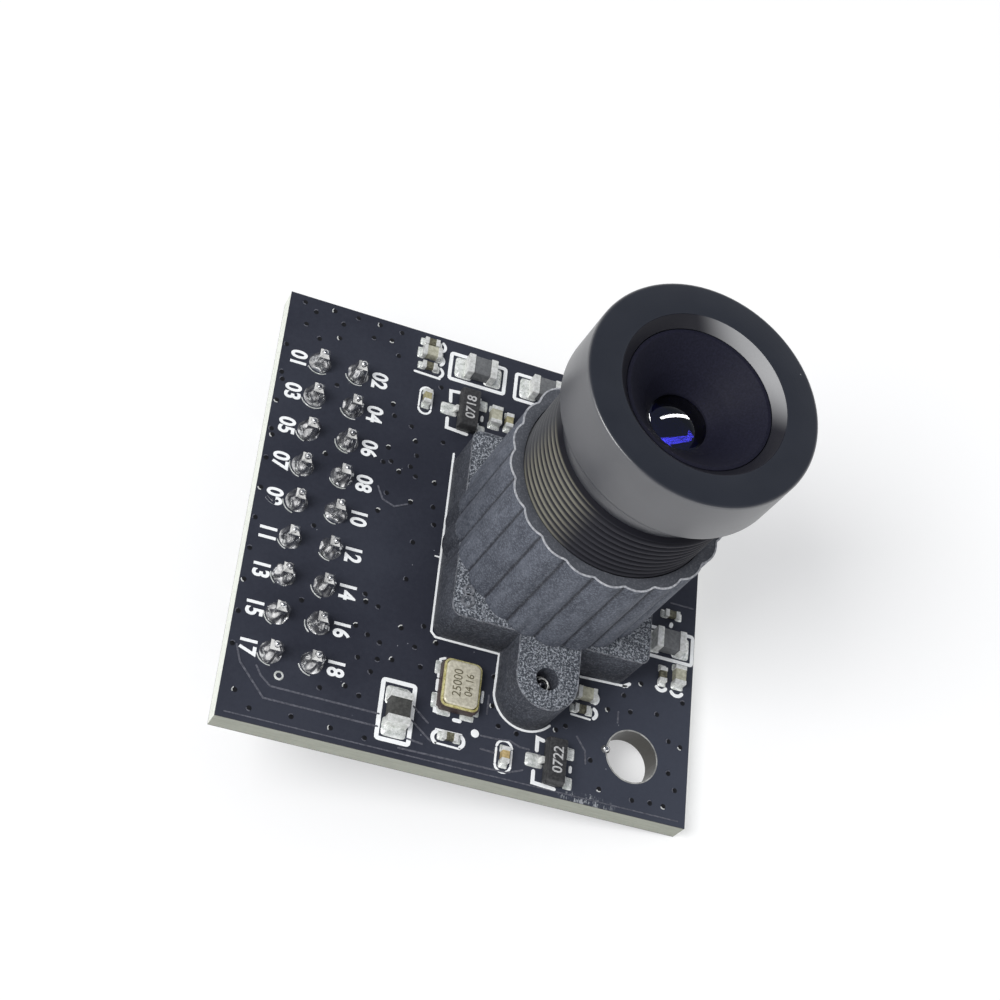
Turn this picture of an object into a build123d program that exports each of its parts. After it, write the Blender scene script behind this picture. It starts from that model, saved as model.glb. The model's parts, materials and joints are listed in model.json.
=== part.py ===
from build123d import *
import os
from math import cos, radians, sin

# Camera module: a square circuit board that carries a two-row pin header underneath, and on top an
# image sensor under a fluted, screwed-on lens holder with a threaded lens barrel.
# Millimetres. The origin is under the board's centre at the level of the header pins' lower tips.
# +Z is the way the lens looks, and +X runs from the header to the mounting holes.

# Circuit board: the strips are what it leaves free beyond the holder's ears and beside the holder
board_thickness = 1.6
end_strip = 3.8
side_strip = 4.55
mounting_hole_radius = 1.65
mounting_hole_inset = 3.8
screw_hole_radius = 0.95

# Pin header
pin_pitch = 2.54
pins_per_row = 9
header_inset = 2.6
header_gap = 7.01
pin_width = 0.64
pin_point_width = 0.34
pin_point_length = 0.25
pin_tail = 6.0
pin_proud = 1.35
block_height = 2.54
block_notch = 0.5
pin_hole_radius = 0.5
pin_hole_sides = 6
solder_foot_radius = 0.78
solder_taper = 16.3
solder_height = 0.95
solder_sides = 8

# Lens holder
holder_side = 12.9
holder_corner_radius = 0.8
holder_base_height = 3.4
holder_wall = 0.95
cavity_height = 2.6
ear_offset = 2.55
ear_width = 4.0
ear_height = 3.34
ear_hole_radius = 0.72
holder_height = 12.2
flute_count = 22
flute_depth = 0.26
tube_wall = 0.57
flute_start_angle = 14.5
flute_foot_height = 1.0
web_thickness = 1.4

# Screws that hold the lens holder from behind the board
screw_clearance = 0.02
screw_length = 4.3
screw_point_length = 0.6
screw_head_radius = 1.5
screw_head_height = 1.0
screw_recess_width = 0.4
screw_recess_span = 1.7
screw_recess_depth = 0.55

# Image sensor and the filter above it
sensor_side = 8.4
sensor_height = 1.3
sensor_rim = 0.9
sensor_floor = 0.4
die_length = 5.4
die_width = 4.6
die_thickness = 0.35
glass_step = 0.4
cover_glass_thickness = 0.5
filter_side = 8.8
filter_thickness = 0.55
filter_clearance = 0.1
light_aperture_radius = 4.0

# Lens barrel
thread_radius = 6.0
thread_clearance = 0.05
barrel_rear_height = 6.8
thread_length = 10.0
groove_count = 4
groove_pitch = 1.1
groove_depth = 0.22
neck_radius = 5.6
neck_length = 2.4
head_radius = 6.87
head_height = 3.85
head_chamfer = 0.2
recess_mouth_radius = 4.9
recess_depth = 0.65
ring_seat_radius = 4.35
barrel_bore_radius = 3.6
barrel_lip = 0.8
rear_opening_radius = 2.0

# Retaining ring and the stack of glass inside the barrel
ring_clearance = 0.04
ring_thickness = 2.75
ring_land = 0.22
funnel_waist_radius = 2.6
funnel_waist_height = 1.2
ring_throat_radius = 1.75
glass_clearance = 0.03
dome_margin = 0.05
front_lens_thickness = 1.8
front_lens_rise = 0.45
spacer_wall = 0.8
stop_thickness = 0.2
stop_radius = 0.9
middle_lens_thickness = 2.0
middle_lens_hollow = 0.45
middle_lens_hollow_radius = 1.7
rear_spacer_length = 2.2
rear_lens_thickness = 2.0
rear_lens_bulge = 0.5

# Oscillator
oscillator_width = 2.5
oscillator_length = 3.2
oscillator_base_height = 0.65
oscillator_notch_radius = 0.2
lid_margin = 0.18
lid_thickness = 0.25
lid_corner_radius = 0.4

# Regulators in three-legged packages
regulator_width = 1.3
regulator_length = 2.9
regulator_height = 1.0
regulator_draft = 0.08
regulator_standoff = 0.08
leg_span = 2.4
leg_width = 0.42
leg_thickness = 0.13
leg_foot = 0.4
leg_pitch = 1.9
leg_embedding = 0.15

# Ferrite beads
bead_length = 2.0
bead_width = 1.4
bead_height = 1.0
bead_terminal = 0.44
bead_coat = 0.05

# Small chips
chip_length = 1.0
chip_width = 0.5
capacitor_height = 0.5
resistor_height = 0.34
large_chip_length = 1.25
large_chip_width = 0.75
large_chip_height = 0.6
chip_terminal = 0.26
chip_coat = 0.02

# Levels that follow from the sizes above
board_bottom = pin_tail + block_height
board_top = board_bottom + board_thickness
web_bottom = board_top + cavity_height + filter_thickness
web_top = web_bottom + web_thickness
holder_top = board_top + holder_height
barrel_rear = board_top + barrel_rear_height
neck_start = barrel_rear + thread_length
head_start = neck_start + neck_length
head_front = head_start + head_height
ring_front = head_front - recess_depth
ring_seat = ring_front - ring_thickness
glass_radius = barrel_bore_radius - glass_clearance

# Radii of the holder's tube, from the thread inside it outwards
lens_bore_radius = thread_radius + thread_clearance
flute_valley_radius = lens_bore_radius + tube_wall
flute_crest_radius = flute_valley_radius + flute_depth

# Lines of the layout: the header, the holder and its strips make up the board's two sides
holder_half = holder_side / 2
ear_hole_y = holder_half + ear_offset
ear_end = ear_hole_y + ear_width / 2
board_length = header_inset + pin_pitch + header_gap + holder_side + side_strip
board_width = 2 * (ear_end + end_strip)
edge_x = board_length / 2
edge_y = board_width / 2
lens_x = edge_x - side_strip - holder_half
inner_pins_x = lens_x - holder_half - header_gap
outer_pins_x = inner_pins_x - pin_pitch
mounting_hole_x = edge_x - mounting_hole_inset
mounting_hole_y = edge_y - mounting_hole_inset
ear_side_x = lens_x - ear_width / 2
pin_places = [
    (x, (i - (pins_per_row - 1) / 2) * pin_pitch)
    for x in (outer_pins_x, inner_pins_x)
    for i in range(pins_per_row)
]
holder_screw_places = [(lens_x, -ear_hole_y), (lens_x, ear_hole_y)]

# Length, width and height of each kind of chip
capacitor = (chip_length, chip_width, capacitor_height)
resistor = (chip_length, chip_width, resistor_height)
large_capacitor = (large_chip_length, large_chip_width, large_chip_height)

# Places of the small parts, each from the holder, the ear or the board's edge that it lies beside
ear_end_x = lens_x + ear_width / 2
chip_places = {
    "capacitor_1": (ear_side_x - 6.92, edge_y - 1.62, 0, large_capacitor),
    "capacitor_2": (ear_side_x - 6.8, holder_half + 3.38, 90, capacitor),
    "capacitor_3": (ear_side_x - 2.1, holder_half + 3.42, 90, large_capacitor),
    "capacitor_4": (ear_side_x - 1.15, holder_half + 3.35, 90, capacitor),
    "capacitor_5": (lens_x - 1.08, -edge_y + 1.75, 90, capacitor),
    "capacitor_6": (ear_end_x + 1.78, -holder_half - 1.35, 0, large_capacitor),
    "capacitor_7": (edge_x - 1.06, -4.95, 90, large_capacitor),
    "resistor_1": (ear_side_x - 6.95, edge_y - 0.75, 0, resistor),
    "resistor_2": (ear_side_x - 6.92, edge_y - 2.57, 0, resistor),
    "resistor_3": (lens_x - 4.6, -edge_y + 2.1, 0, resistor),
    "resistor_4": (ear_end_x + 1.62, -holder_half - 2.35, 0, resistor),
    "resistor_5": (edge_x - 2.13, -5.1, 90, resistor),
    "resistor_6": (edge_x - 1.75, -0.75, 0, resistor),
}
bead_places = {
    "ferrite_bead_1": (lens_x - 5.55, edge_y - 1.9, 0),
    "ferrite_bead_2": (lens_x - 0.98, edge_y - 2.0, 0),
    "ferrite_bead_3": (lens_x - 8.03, -edge_y + 2.85, 90),
    "ferrite_bead_4": (edge_x - 2.0, -2.88, 0),
}
regulator_places = {
    "regulator_1": (ear_side_x - 4.05, holder_half + 3.12),
    "regulator_2": (lens_x + 2.02, -edge_y + 2.0),
}
oscillator_x = lens_x - 4.4
oscillator_y = -holder_half - 3.05


def on_board(shape, x, y, turn=0):
    """Stand a part, modelled upright at the origin, on the board's top face."""
    return Pos(x, y, board_top) * Rot(0, 0, turn) * shape


def block(length, width, height):
    """A box that stands on the XY plane, centred on the Z axis."""
    return extrude(Rectangle(length, width), amount=height)


def turned(*outline):
    """Turn a closed outline of radius and height, given corner by corner, about the Z axis."""
    face = make_face(Plane.XZ * Polyline(*outline, close=True))
    return revolve(face, Axis.Z)


def column(radius, bottom, top, x=0.0, y=0.0):
    """A plain cylinder between two levels."""
    return Pos(x, y, bottom) * extrude(Circle(radius), amount=top - bottom)


def board():
    """The board with its holes; those of the pins, which solder and block hide, have few sides."""
    plate = Pos(0, 0, board_bottom) * block(board_length, board_width, board_thickness)
    pin_hole = extrude(RegularPolygon(pin_hole_radius, pin_hole_sides), amount=board_thickness)
    for x, y in pin_places:
        plate -= Pos(x, y, board_bottom) * pin_hole
    for y in (-mounting_hole_y, mounting_hole_y):
        plate -= column(mounting_hole_radius, board_bottom, board_top, mounting_hole_x, y)
    for x, y in holder_screw_places:
        plate -= column(screw_hole_radius, board_bottom, board_top, x, y)
    return plate


def header_pin():
    """One square pin with both ends tapered to a blunt point."""
    length = board_top + pin_proud
    half, point = pin_width / 2, pin_point_width / 2
    side = make_face(
        Polyline(
            (-point, 0),
            (point, 0),
            (half, pin_point_length),
            (half, length - pin_point_length),
            (point, length),
            (-point, length),
            (-half, length - pin_point_length),
            (-half, pin_point_length),
            close=True,
        )
    )
    across = extrude(Plane.XZ * side, amount=half, both=True)
    along = extrude(Plane.YZ * side, amount=half, both=True)
    return across & along


def header_pins():
    pin = header_pin()
    return Compound(children=[Pos(x, y, 0) * pin for x, y in pin_places])


def pin_core():
    """The plain square shank that the plastic block and the solder close on."""
    straight = board_top + pin_proud - 2 * pin_point_length
    return Pos(0, 0, pin_point_length) * block(pin_width, pin_width, straight)


def header_block():
    """The black plastic strip, with a notch in both long sides between neighbouring pins."""
    half = pin_pitch / 2
    cell = make_face(
        Polyline(
            (-pin_pitch, -half + block_notch),
            (-pin_pitch + block_notch, -half),
            (pin_pitch - block_notch, -half),
            (pin_pitch, -half + block_notch),
            (pin_pitch, half - block_notch),
            (pin_pitch - block_notch, half),
            (-pin_pitch + block_notch, half),
            (-pin_pitch, half - block_notch),
            close=True,
        )
    )
    strip = Sketch()
    for y in sorted({y for x, y in pin_places}):
        strip += Pos(0, y) * cell
    header_x = (outer_pins_x + inner_pins_x) / 2
    strip = Pos(header_x, 0, pin_tail) * extrude(strip, amount=block_height)
    core = pin_core()
    for x, y in pin_places:
        strip -= Pos(x, y, 0) * core
    return strip


def solder_joint():
    """A faceted cone of solder that stands on the board and closes on one pin."""
    foot = Pos(0, 0, board_top) * RegularPolygon(solder_foot_radius, solder_sides)
    return extrude(foot, amount=solder_height, taper=solder_taper) - pin_core()


def solder_joints():
    joint = solder_joint()
    return Compound(children=[Pos(x, y, 0) * joint for x, y in pin_places])


def flute_outline():
    """The tube's outside: convex lobes side by side, which meet in sharp valleys."""
    step = 360 / flute_count
    lobes = []
    for k in range(flute_count):
        angles = [radians(flute_start_angle + (k + part) * step) for part in (0, 0.5, 1)]
        radii = (flute_valley_radius, flute_crest_radius, flute_valley_radius)
        lobes.append(ThreePointArc(*[(r * cos(a), r * sin(a)) for r, a in zip(radii, angles)]))
    return make_face(lobes)


def ear():
    """A round-ended ear on each side of the holder's base, as one bar under the base."""
    return Pos(lens_x, 0, board_top) * extrude(
        Rot(0, 0, 90) * SlotCenterToCenter(2 * ear_hole_y, ear_width), amount=ear_height
    )


def lens_holder():
    """One moulding: base with two ears, fluted tube, sensor cavity, filter seat and lens bore."""
    base = RectangleRounded(holder_side, holder_side, holder_corner_radius)
    holder = Pos(lens_x, 0, board_top) * extrude(base, amount=holder_base_height)
    holder += ear()
    foot = board_top + flute_foot_height
    holder += Pos(lens_x, 0, foot) * extrude(flute_outline(), amount=holder_top - foot)
    cavity = holder_side - 2 * holder_wall
    filter_seat = filter_side + 2 * filter_clearance
    holder -= Pos(lens_x, 0, board_top) * block(cavity, cavity, cavity_height)
    holder -= Pos(lens_x, 0, board_top) * block(filter_seat, filter_seat, web_bottom - board_top)
    holder -= column(light_aperture_radius, web_bottom, web_top, lens_x)
    holder -= column(lens_bore_radius, web_top, holder_top, lens_x)
    for x, y in holder_screw_places:
        holder -= column(ear_hole_radius, board_top, board_top + ear_height, x, y)
    return holder


def holder_screws():
    """Two pan-head screws, driven up through the board into the ears."""
    shank = ear_hole_radius - screw_clearance
    tip = board_bottom + screw_length
    screw = turned(
        (0, board_bottom - screw_head_height),
        (screw_head_radius, board_bottom - screw_head_height),
        (screw_head_radius, board_bottom),
        (shank, board_bottom),
        (shank, tip - screw_point_length),
        (0, tip),
    )
    for turn in (0, 90):
        slot = block(screw_recess_span, screw_recess_width, screw_recess_depth)
        screw -= Pos(0, 0, board_bottom - screw_head_height) * Rot(0, 0, turn) * slot
    return Compound(children=[Pos(x, y, 0) * screw for x, y in holder_screw_places])


def sensor_package():
    """A ceramic tray with a deep well for the die and a shallow step for its window."""
    window = sensor_side - 2 * glass_step
    well = sensor_side - 2 * sensor_rim
    tray = block(sensor_side, sensor_side, sensor_height)
    tray -= Pos(0, 0, sensor_height - cover_glass_thickness / 2) * block(window, window, sensor_height)
    tray -= Pos(0, 0, sensor_floor) * block(well, well, sensor_height)
    return on_board(tray, lens_x, 0)


def sensor_die():
    return on_board(Pos(0, 0, sensor_floor) * block(die_length, die_width, die_thickness), lens_x, 0)


def sensor_cover_glass():
    window = sensor_side - 2 * glass_step
    sheet = block(window, window, cover_glass_thickness)
    return on_board(Pos(0, 0, sensor_height - cover_glass_thickness / 2) * sheet, lens_x, 0)


def infrared_filter():
    pane = block(filter_side, filter_side, filter_thickness)
    return Pos(lens_x, 0, web_bottom - filter_thickness) * pane


def thread_grooves():
    """Corners of the coarse V grooves that stand for the thread where it shows, up to the neck."""
    crest, root = thread_radius, thread_radius - groove_depth
    first = neck_start - groove_count * groove_pitch
    corners = []
    for k in range(groove_count):
        bottom = first + k * groove_pitch
        corners += [(crest, bottom), (root, bottom + groove_pitch / 2)]
    return corners + [(crest, neck_start)]


def lens_barrel():
    """The turned lens body: threaded shank, neck, wide head, stepped bore and rear lip."""
    body = turned(
        (rear_opening_radius, barrel_rear),
        (thread_radius, barrel_rear),
        *thread_grooves(),
        (neck_radius, neck_start),
        (neck_radius, head_start),
        (head_radius, head_start),
        (head_radius, head_front - head_chamfer),
        (head_radius - head_chamfer, head_front),
        (recess_mouth_radius, head_front),
        (ring_seat_radius, ring_front),
        (ring_seat_radius, ring_seat),
        (barrel_bore_radius, ring_seat),
        (barrel_bore_radius, barrel_rear + barrel_lip),
        (rear_opening_radius, barrel_rear + barrel_lip),
    )
    return Pos(lens_x, 0, 0) * body


def front_retaining_ring():
    """The ring that clamps the glass, with a two-slope funnel down to the front lens."""
    rim = ring_seat_radius - ring_clearance
    ring = turned(
        (ring_throat_radius, ring_seat),
        (rim, ring_seat),
        (rim, ring_front),
        (rim - ring_land, ring_front),
        (funnel_waist_radius, ring_seat + funnel_waist_height),
    )
    return Pos(lens_x, 0, 0) * ring


def lens_element(bottom, thickness, rise, rise_radius, upwards=True):
    """A round lens with one flat face and one curved one.

    The curved face has a flat seat round it, and its middle lies higher than the seat by the rise.
    """
    flat, seat = (bottom, bottom + thickness) if upwards else (bottom + thickness, bottom)
    outline = [
        TangentArc((0, seat + rise), (rise_radius, seat), tangent=(1, 0)),
        Line((rise_radius, seat), (glass_radius, seat)),
        Line((glass_radius, seat), (glass_radius, flat)),
        Line((glass_radius, flat), (0, flat)),
        Line((0, flat), (0, seat + rise)),
    ]
    return Pos(lens_x, 0, 0) * revolve(make_face(Plane.XZ * Curve(outline)), Axis.Z)


def plain_spacer(bottom, top):
    """A plain tube that fits the barrel's bore."""
    sleeve = column(glass_radius, bottom, top) - column(glass_radius - spacer_wall, bottom, top)
    return Pos(lens_x, 0, 0) * sleeve


def stopped_spacer(bottom, top):
    """A tube whose lower end is drawn in to a thin disc with the lens's aperture in its middle."""
    inside = glass_radius - spacer_wall
    sleeve = turned(
        (stop_radius, bottom),
        (glass_radius, bottom),
        (glass_radius, top),
        (inside, top),
        (inside, bottom + stop_thickness),
        (stop_radius, bottom + stop_thickness),
    )
    return Pos(lens_x, 0, 0) * sleeve


def lens_stack():
    """The loose pieces inside the barrel from the rear lip to the retaining ring, by name."""
    rear = barrel_rear + barrel_lip
    rear_top = rear + rear_lens_thickness
    middle = rear_top + rear_spacer_length
    middle_top = middle + middle_lens_thickness
    front = ring_seat - front_lens_thickness
    bulge_radius = rear_opening_radius - dome_margin
    dome_radius = ring_throat_radius - dome_margin
    return {
        "rear_lens": lens_element(rear, rear_lens_thickness, -rear_lens_bulge, bulge_radius, False),
        "rear_spacer": plain_spacer(rear_top, middle),
        "middle_lens": lens_element(
            middle, middle_lens_thickness, middle_lens_hollow, middle_lens_hollow_radius, False
        ),
        "front_spacer": stopped_spacer(middle_top, front),
        "front_lens": lens_element(front, front_lens_thickness, front_lens_rise, dome_radius),
    }


def oscillator_base():
    """A ceramic block with a quarter-round notch down each corner."""
    base = block(oscillator_width, oscillator_length, oscillator_base_height)
    for x in (-oscillator_width / 2, oscillator_width / 2):
        for y in (-oscillator_length / 2, oscillator_length / 2):
            base -= column(oscillator_notch_radius, 0, oscillator_base_height, x, y)
    return on_board(base, oscillator_x, oscillator_y)


def oscillator_lid():
    lid = RectangleRounded(
        oscillator_width - 2 * lid_margin, oscillator_length - 2 * lid_margin, lid_corner_radius
    )
    plate = Pos(0, 0, oscillator_base_height) * extrude(lid, amount=lid_thickness)
    return on_board(plate, oscillator_x, oscillator_y)


def regulator_leg():
    """One bent leg that runs out along +X from inside the package and down to its foot."""
    out = regulator_width / 2
    knee = out + (leg_span / 2 - out) - leg_foot
    middle = regulator_height / 2
    outline = Polyline(
        (out - leg_embedding, middle),
        (knee, middle),
        (knee + 0.1, leg_thickness),
        (leg_span / 2, leg_thickness),
        (leg_span / 2, 0),
        (knee, 0),
        (knee - leg_thickness, middle - leg_thickness),
        (out - leg_embedding, middle - leg_thickness),
        close=True,
    )
    return extrude(make_face(Plane.XZ * outline), amount=leg_width / 2, both=True)


def regulator_legs():
    """One leg on the left and two on the right."""
    leg = regulator_leg()
    return [
        Rot(0, 0, 180) * leg,
        Pos(0, leg_pitch / 2, 0) * leg,
        Pos(0, -leg_pitch / 2, 0) * leg,
    ]


def regulator_body():
    """The moulded package, widest where its legs come out, closed on the legs' roots."""
    middle = regulator_height / 2
    wide = Rectangle(regulator_width, regulator_length)
    inset = 2 * regulator_draft
    narrow = Rectangle(regulator_width - inset, regulator_length - inset)
    upper = loft([Pos(0, 0, middle) * wide, Pos(0, 0, regulator_height) * narrow])
    lower = loft([Pos(0, 0, regulator_standoff) * narrow, Pos(0, 0, middle) * wide])
    body = upper + lower
    for leg in regulator_legs():
        body -= leg
    return body


def bead_body():
    """The bead's ceramic block, lifted by the thickness of its end coats."""
    core = block(bead_length - 2 * bead_coat, bead_width - 2 * bead_coat, bead_height - 2 * bead_coat)
    return Pos(0, 0, bead_coat) * core


def bead_terminals():
    """A metal cup over each end of the bead."""
    cups = []
    for x in (-(bead_length - bead_terminal) / 2, (bead_length - bead_terminal) / 2):
        cups.append(Pos(x, 0, 0) * block(bead_terminal, bead_width, bead_height) - bead_body())
    return cups


def chip(length, width, height):
    """A chip capacitor or resistor, whose end caps stand a little proud of its body."""
    inset = 2 * chip_coat
    shape = Pos(0, 0, chip_coat) * block(length - inset, width - inset, height - inset)
    for x in (-(length - chip_terminal) / 2, (length - chip_terminal) / 2):
        shape += Pos(x, 0, 0) * block(chip_terminal, width, height)
    return shape


def save(name, shape):
    export_step(shape, f"parts/{name}.step")


os.makedirs("parts", exist_ok=True)
save("circuit_board", board())
save("header_block", header_block())
save("header_pins", header_pins())
save("solder_joints", solder_joints())
save("lens_holder", lens_holder())
save("holder_screws", holder_screws())
save("sensor_package", sensor_package())
save("sensor_die", sensor_die())
save("sensor_cover_glass", sensor_cover_glass())
save("infrared_filter", infrared_filter())
save("lens_barrel", lens_barrel())
save("front_retaining_ring", front_retaining_ring())
for name, piece in lens_stack().items():
    save(name, piece)
save("oscillator_base", oscillator_base())
save("oscillator_lid", oscillator_lid())
for name, (x, y) in regulator_places.items():
    save(f"{name}_body", on_board(regulator_body(), x, y))
    save(f"{name}_legs", Compound(children=[on_board(leg, x, y) for leg in regulator_legs()]))
for name, (x, y, turn) in bead_places.items():
    save(f"{name}_body", on_board(bead_body(), x, y, turn))
    save(f"{name}_terminals", Compound(children=[on_board(cup, x, y, turn) for cup in bead_terminals()]))
for name, (x, y, turn, sizes) in chip_places.items():
    save(name, on_board(chip(*sizes), x, y, turn))
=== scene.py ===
# %% [markdown]
# # A camera module, dressed for its portrait
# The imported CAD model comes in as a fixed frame. Every piece below is placed from the boxes of that
# frame, in millimetres, so that nothing has to be fitted by eye.

# %% Load the frame
import json
import math

import bmesh
import bpy
import numpy as np
from mathutils import Matrix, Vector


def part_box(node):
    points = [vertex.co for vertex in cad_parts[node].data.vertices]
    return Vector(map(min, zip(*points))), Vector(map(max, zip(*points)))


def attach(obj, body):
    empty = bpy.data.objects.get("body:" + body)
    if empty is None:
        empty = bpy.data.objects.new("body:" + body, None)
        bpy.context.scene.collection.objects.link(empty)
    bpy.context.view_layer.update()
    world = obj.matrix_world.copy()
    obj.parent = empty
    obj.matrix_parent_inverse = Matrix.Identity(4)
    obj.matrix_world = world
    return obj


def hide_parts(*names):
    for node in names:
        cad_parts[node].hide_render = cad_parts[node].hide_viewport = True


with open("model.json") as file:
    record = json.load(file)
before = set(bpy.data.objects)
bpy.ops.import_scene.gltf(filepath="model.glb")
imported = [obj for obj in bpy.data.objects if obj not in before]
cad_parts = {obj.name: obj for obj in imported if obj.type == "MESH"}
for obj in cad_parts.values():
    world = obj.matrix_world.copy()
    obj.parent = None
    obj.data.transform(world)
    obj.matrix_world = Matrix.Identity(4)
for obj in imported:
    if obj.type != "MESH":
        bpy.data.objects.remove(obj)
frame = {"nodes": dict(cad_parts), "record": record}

MM = 0.001
TURN = 2 * math.pi
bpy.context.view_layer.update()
nodes = frame["nodes"]
body_of = {n: b for b, members in frame["record"]["behaviour"]["bodies"].items() for n in members}
slot_of = {s["node"]: s["material_slot"] for s in frame["record"]["subparts"]}


# %% [markdown]
# ## Where things are
# The board's top face, its edges, the lens's axis and the two columns of pins are read from the
# frame. A learner can trust these numbers because the CAD owns them. The few that a box can't give,
# such as the radii of the tube's lobes, are the lengths that the CAD source names.

# %% Datums, in millimetres
def box_mm(node):
    """Lowest and highest corner of a node."""
    low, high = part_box(node)
    return np.array(low) / MM, np.array(high) / MM


board_low, board_high = box_mm("circuit_board")
TOP = board_high[2]
EDGE_X, EDGE_Y = board_high[:2]
hole_inset, hole_radius = 3.8, 1.65
barrel_low, barrel_high = box_mm("lens_barrel")
LENS_X = (barrel_low[0] + barrel_high[0]) / 2
front, head_radius = barrel_high[2], (barrel_high[0] - barrel_low[0]) / 2
head_back, neck_back, thread_radius = front - 3.85, front - 6.25, 6.0
holder_top = box_mm("lens_holder")[1][2]
base_half, base_top, ear_top = 6.45, TOP + 3.4, TOP + 3.34
ear_y = -base_half - 2.55
flute_valley, flute_crest = 6.62, 6.88
pins_low, pins_high = box_mm("header_pins")
pin_half, pin_rows = 0.32, 9
pin_columns = (pins_low[0] + pin_half, pins_high[0] - pin_half)
row_y = np.linspace(pins_high[1] - pin_half, pins_low[1] + pin_half, pin_rows)
pin_places = np.array([(x, y, 0.0) for x in pin_columns for y in row_y])
print("board top", round(TOP, 2), "lens axis x", round(LENS_X, 2), "pins", len(pin_places))


# %% [markdown]
# ## Surfaces from arrays
# A shape here is a pair: an array of points, and a list of arrays of faces. A grid of points needs
# only its number of rows and columns to know its faces, so every curved piece is one formula on a
# grid. Closed loops wrap round, and points that coincide at a pole are merged afterwards.

# %% Grids, turned shapes and bars along a path
def unit(vectors):
    """The same directions with a length of 1."""
    return vectors / np.linalg.norm(vectors, axis=-1, keepdims=True)


def grid_faces(rows, columns, wrap_rows=False, wrap_columns=True):
    """Quads between neighbouring rows and columns of a grid of points."""
    r = np.arange(rows if wrap_rows else rows - 1)
    c = np.arange(columns if wrap_columns else columns - 1)
    r, c = (a.ravel() for a in np.meshgrid(r, c, indexing="ij"))
    r2, c2 = (r + 1) % rows, (c + 1) % columns
    return np.stack([r * columns + c, r * columns + c2, r2 * columns + c2, r2 * columns + c], 1)


def joined(shapes):
    """One shape from several: points in a row, faces renumbered."""
    points, faces, count = [], [], 0
    for p, f in shapes:
        points.append(p)
        faces += [a + count for a in f]
        count += len(p)
    return np.concatenate(points), faces


def moved(shape, x=0.0, y=0.0, z=0.0, turn=0.0):
    """The shape turned about Z by some degrees, then carried to x, y, z."""
    c, s = math.cos(math.radians(turn)), math.sin(math.radians(turn))
    return shape[0] @ np.array([[c, s, 0], [-s, c, 0], [0, 0, 1]]) + (x, y, z), shape[1]


def repeated(shape, places):
    """The shape at each place, with points and faces worked out as whole arrays."""
    places = np.asarray(places, float)
    count = len(shape[0])
    points = (shape[0][None] + places[:, None]).reshape(-1, 3)
    steps = (np.arange(len(places)) * count)[:, None, None]
    return points, [(f[None] + steps).reshape(-1, f.shape[1]) for f in shape[1]]


def turned(profile, steps=96, loop=True, wobble=None):
    """A profile of (radius, height) carried round the Z axis: x = r cos a, y = r sin a.

    wobble(angle, radius, height) gives the radius at each angle, for threads and rough joints.
    """
    profile = np.asarray(profile, float)
    a = np.arange(steps) * TURN / steps
    r, z = (np.repeat(column[:, None], steps, 1) for column in profile[:, :2].T)
    if wobble is not None:
        r = wobble(a[None], r, z)
    points = np.stack([r * np.cos(a), r * np.sin(a), z], -1).reshape(-1, 3)
    return points, [grid_faces(len(profile), steps, wrap_rows=loop)]


def rounded(corners, steps=5):
    """A polygon of (u, v, radius) corners with each corner drawn as an arc of that radius.

    The arc starts and ends at radius / tan(half the corner's angle) from the corner, and its points
    are those of a quadratic curve pulled towards the corner.
    """
    corners = np.asarray(corners, float)
    before, after = np.roll(corners, 1, 0), np.roll(corners, -1, 0)
    out = []
    for b, p, n in zip(before, corners, after):
        if p[2] == 0:
            out.append(p[None, :2])
            continue
        to_b, to_n = b[:2] - p[:2], n[:2] - p[:2]
        length_b, length_n = np.hypot(*to_b), np.hypot(*to_n)
        half = math.acos(np.clip(to_b @ to_n / (length_b * length_n), -1, 1)) / 2
        reach = min(p[2] / math.tan(half), 0.49 * length_b, 0.49 * length_n)
        t = np.linspace(0, 1, steps + 1)[:, None]
        start, end = p[:2] + to_b / length_b * reach, p[:2] + to_n / length_n * reach
        out.append((1 - t) ** 2 * start + 2 * t * (1 - t) * p[:2] + t**2 * end)
    return np.concatenate(out)


def carried(path, section, widths=1.0, closed=False):
    """A section of (sideways, up) carried along a path of (x, y) with mitred corners.

    widths scales the sideways part at each point of the path.
    """
    path, section = np.asarray(path, float), np.asarray(section, float)
    if closed:
        back, ahead = path - np.roll(path, 1, 0), np.roll(path, -1, 0) - path
    else:
        step = np.diff(path, axis=0)
        back, ahead = np.vstack([step[:1], step]), np.vstack([step, step[-1:]])
    ahead = unit(ahead)
    middle = unit(unit(back) + ahead)
    side = np.stack([-middle[:, 1], middle[:, 0]], 1)
    side /= np.maximum((middle * ahead).sum(1), 0.4)[:, None]
    across = side[:, None] * (section[None, :, :1] * np.reshape(widths, (-1, 1, 1)))
    up = np.broadcast_to(section[None, :, 1:], (len(path), len(section), 1))
    points = np.concatenate([path[:, None] + across, up], -1).reshape(-1, 3)
    faces = [grid_faces(len(path), len(section), wrap_rows=closed)]
    if not closed:
        ends = np.arange(len(section))
        faces.append(np.stack([ends, ends + (len(path) - 1) * len(section)]))
    return points, faces


def stroke(path, width, height, closed=False, z=0.0):
    """A printed line or raised track with round ends: a thin bar, narrowed over its end circles."""
    section = np.array([(-0.5, 0), (-0.44, 1), (0.44, 1), (0.5, 0)]) * (width, height) + (0, z)
    if closed:
        return carried(path, section, closed=True)
    path = np.asarray(path, float)
    a = np.linspace(TURN / 4, 0, 5)[:-1]
    first, last = unit(path[0] - path[1]), unit(path[-1] - path[-2])
    reach, narrow = np.sin(a) * width / 2, np.maximum(np.cos(a), 0.05)
    path = np.vstack([path[0] + first * reach[:, None], path, path[-1] + last * reach[::-1, None]])
    widths = np.concatenate([narrow, np.ones(len(path) - 2 * len(a)), narrow[::-1]])
    return carried(path, section, widths)


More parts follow.
